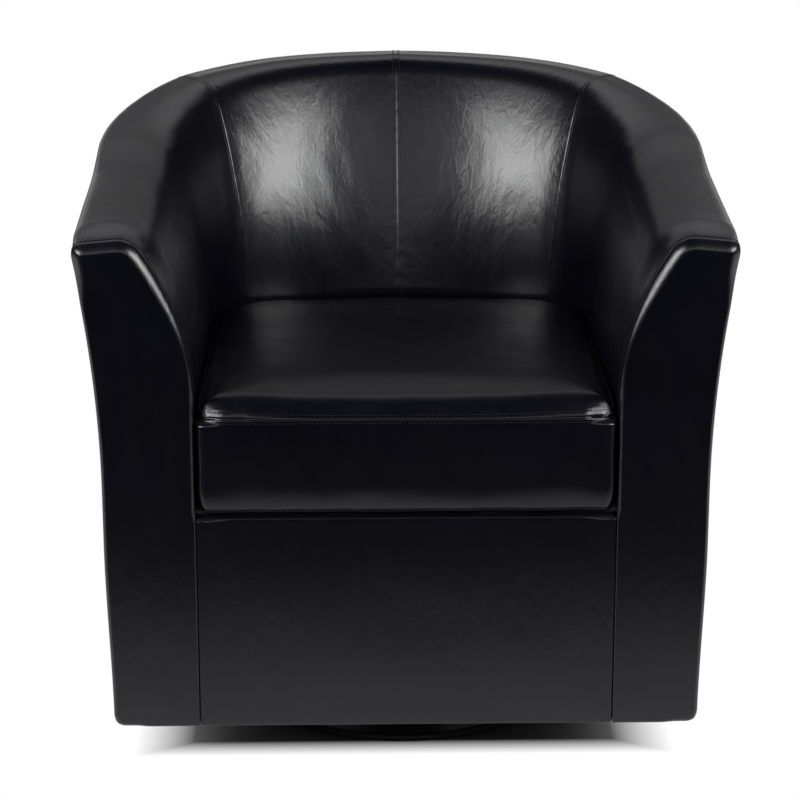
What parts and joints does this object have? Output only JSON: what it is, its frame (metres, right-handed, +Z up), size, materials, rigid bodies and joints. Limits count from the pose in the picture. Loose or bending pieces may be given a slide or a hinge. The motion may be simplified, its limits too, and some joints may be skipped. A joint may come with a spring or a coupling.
{
  "type": "swivel club chair",
  "caption": "Upholstered tub armchair with a wrap-around padded wall and box seat cushion, turning on a ball-bearing swivel over a round floor plate",
  "frame": {"origin": "on the floor, on the swivel axis, at the middle of the floor pad's underside", "axes": "+Z up along the swivel axis, the chair faces -Y, +X to the right as seen from the front"},
  "size_m": [0.7204, 0.6799, 0.743],
  "materials": {
    "black_leather": "semi-gloss smooth grain",
    "base_steel": "satin powder coat",
    "zinc_steel": "bright zinc",
    "ball_steel": "polished",
    "nylon": "matte",
    "floor_rubber": "matte",
    "dust_cloth": "non-woven",
    "felt": "needled felt",
    "webbing": "woven elastic",
    "frame_wood": "raw"
  },
  "bodies": {
    "base": {"floor_pad": "floor_rubber", "floor_plate": "base_steel", "column_tube": "base_steel", "column_gussets": "base_steel", "lower_race": "zinc_steel", "king_pin": "zinc_steel", "king_pin_nut": "zinc_steel", "thrust_washer": "zinc_steel"},
    "bearing": {"ball_cage": "nylon", "bearing_balls": "ball_steel"},
    "chair": {"arm_front_left": "black_leather", "arm_front_panel_left": "frame_wood", "arm_front_panel_right": "frame_wood", "arm_front_right": "black_leather", "arm_post_left": "frame_wood", "arm_post_right": "frame_wood", "arm_stud_left": "frame_wood", "arm_stud_right": "frame_wood", "arm_top_rail_left": "frame_wood", "arm_top_rail_right": "frame_wood", "back_post_left": "frame_wood", "back_post_right": "frame_wood", "back_stud_left": "frame_wood", "back_stud_right": "frame_wood", "back_top_rail": "frame_wood", "back_webbing": "webbing", "base_frame": "frame_wood", "corner_blocks": "frame_wood", "corner_post_left": "frame_wood", "corner_post_right": "frame_wood", "corner_stud_left": "frame_wood", "corner_stud_right": "frame_wood", "cross_rail_front": "frame_wood", "cross_rail_rear": "frame_wood", "deck_pad": "felt", "dust_cover": "dust_cloth", "front_board": "frame_wood", "front_rail_cover": "black_leather", "inside_arm_left": "black_leather", "inside_arm_right": "black_leather", "inside_back_left": "black_leather", "inside_back_right": "black_leather", "outside_arm_left": "black_leather", "outside_arm_right": "black_leather", "outside_back": "black_leather", "pivot_bush": "nylon", "plate_bolts": "zinc_steel", "plate_nuts": "zinc_steel", "plate_washers": "zinc_steel", "seat_cushion": "black_leather", "seat_frame": "frame_wood", "seat_springs": "zinc_steel", "spring_clips": "zinc_steel", "upper_race": "zinc_steel"}
  },
  "joints": [
    {"name": "swivel", "type": "hinge", "parent": "base", "child": "chair", "pos_m": [0, 0, 0.084], "axis": [0, 0, 1], "continuous": true},
    {"name": "cage_roll", "type": "hinge", "parent": "base", "child": "bearing", "pos_m": [0, 0, 0.077], "axis": [0, 0, 1], "continuous": true}
  ],
  "couplings": [
    {"joint": "cage_roll", "follows": "swivel", "ratio": 0.5}
  ]
}
